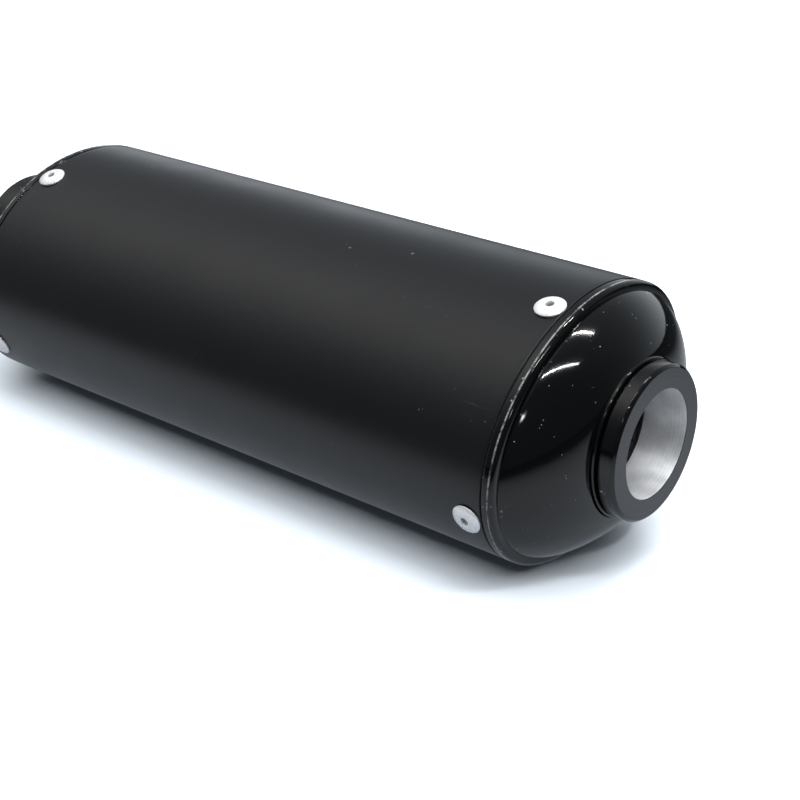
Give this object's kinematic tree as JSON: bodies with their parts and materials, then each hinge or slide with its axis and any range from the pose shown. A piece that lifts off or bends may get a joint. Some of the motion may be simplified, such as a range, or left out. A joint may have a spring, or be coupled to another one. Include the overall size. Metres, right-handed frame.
{
  "type": "motorcycle exhaust muffler",
  "caption": "Oval absorption muffler: black riveted sleeve with domed end caps, bare turned outlet bore and an inlet socket with two set screws.",
  "frame": {"origin": "centre of the inlet socket's mouth, on the gas path's axis", "axes": "+X along the gas path from inlet to outlet, +Y along the oval's wide axis, +Z along its narrow axis"},
  "size_m": [0.2875, 0.1054, 0.0822],
  "materials": {
    "satin_black_sleeve": "satin black coating on rolled aluminium",
    "gloss_black_cap": "gloss black coating",
    "turned_collar": "black outside and face, bare turned aluminium bore",
    "black_collar": "gloss black coating",
    "dark_sealant": "matt",
    "rivet_aluminium": "bright, drawn",
    "mandrel_steel": "broken steel",
    "socket_stainless": "drawn stainless",
    "core_steel": "dull",
    "steel_wool": "fibrous",
    "glass_fibre": "matt",
    "screw_steel": "black oxide"
  },
  "bodies": {
    "root": {"sleeve": "satin_black_sleeve", "outlet_cap": "gloss_black_cap", "inlet_cap": "gloss_black_cap", "outlet_collar": "turned_collar", "inlet_collar": "black_collar", "outlet_cap_seal": "dark_sealant", "inlet_cap_seal": "dark_sealant", "outlet_rivets": "rivet_aluminium", "inlet_rivets": "rivet_aluminium", "outlet_rivet_mandrels": "mandrel_steel", "inlet_rivet_mandrels": "mandrel_steel", "inlet_tube": "socket_stainless", "perforated_core": "core_steel", "steel_wool_wrap": "steel_wool", "glass_packing": "glass_fibre", "inlet_set_screws": "screw_steel"}
  },
  "joints": []
}
